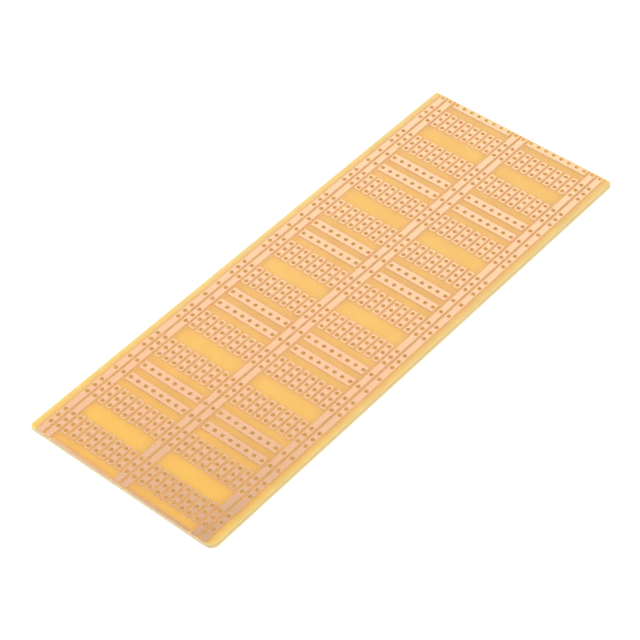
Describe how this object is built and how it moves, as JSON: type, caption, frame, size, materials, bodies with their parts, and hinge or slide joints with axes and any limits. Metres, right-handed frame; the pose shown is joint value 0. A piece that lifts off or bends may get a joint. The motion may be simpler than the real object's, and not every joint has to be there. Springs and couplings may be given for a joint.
{
  "type": "prototype board",
  "caption": "Flat drilled circuit board with a bare copper pattern of long rails, cross strips and short lands on one side, for soldering up trial circuits.",
  "frame": {"origin": "centre of the board's bare underside", "axes": "+Z out of the copper face, +Y along the board toward the end where a row of holes lies close to the edge, +X to the right across the columns"},
  "size_m": [0.0596, 0.1602, 0.0015],
  "materials": {
    "laminate": "translucent amber phenolic paper laminate, smooth faces, paler cut edges",
    "copper": "bare bright copper foil, satin, faintly brushed along the board"
  },
  "bodies": {
    "root": {"base_laminate": "laminate", "left_outer_rail": "copper", "left_inner_rail": "copper", "centre_left_rail": "copper", "centre_right_rail": "copper", "right_inner_rail": "copper", "right_outer_rail": "copper", "bay_1_left_far_strip": "copper", "bay_1_left_near_strip": "copper", "bay_1_right_far_strip": "copper", "bay_1_right_near_strip": "copper", "bay_2_left_far_strip": "copper", "bay_2_left_near_strip": "copper", "bay_2_right_far_strip": "copper", "bay_2_right_near_strip": "copper", "bay_3_left_far_strip": "copper", "bay_3_left_near_strip": "copper", "bay_3_right_far_strip": "copper", "bay_3_right_near_strip": "copper", "bay_4_left_far_strip": "copper", "bay_4_left_near_strip": "copper", "bay_4_right_far_strip": "copper", "bay_4_right_near_strip": "copper", "bay_5_left_far_strip": "copper", "bay_5_left_near_strip": "copper", "bay_5_right_far_strip": "copper", "bay_5_right_near_strip": "copper", "bay_1_left_far_lands": "copper", "bay_1_left_near_lands": "copper", "bay_1_right_far_lands": "copper", "bay_1_right_near_lands": "copper", "bay_2_left_far_lands": "copper", "bay_2_left_near_lands": "copper", "bay_2_right_far_lands": "copper", "bay_2_right_near_lands": "copper", "bay_3_left_far_lands": "copper", "bay_3_left_near_lands": "copper", "bay_3_right_far_lands": "copper", "bay_3_right_near_lands": "copper", "bay_4_left_far_lands": "copper", "bay_4_left_near_lands": "copper", "bay_4_right_far_lands": "copper", "bay_4_right_near_lands": "copper", "bay_5_left_far_lands": "copper", "bay_5_left_near_lands": "copper", "bay_5_right_far_lands": "copper", "bay_5_right_near_lands": "copper"}
  },
  "joints": []
}
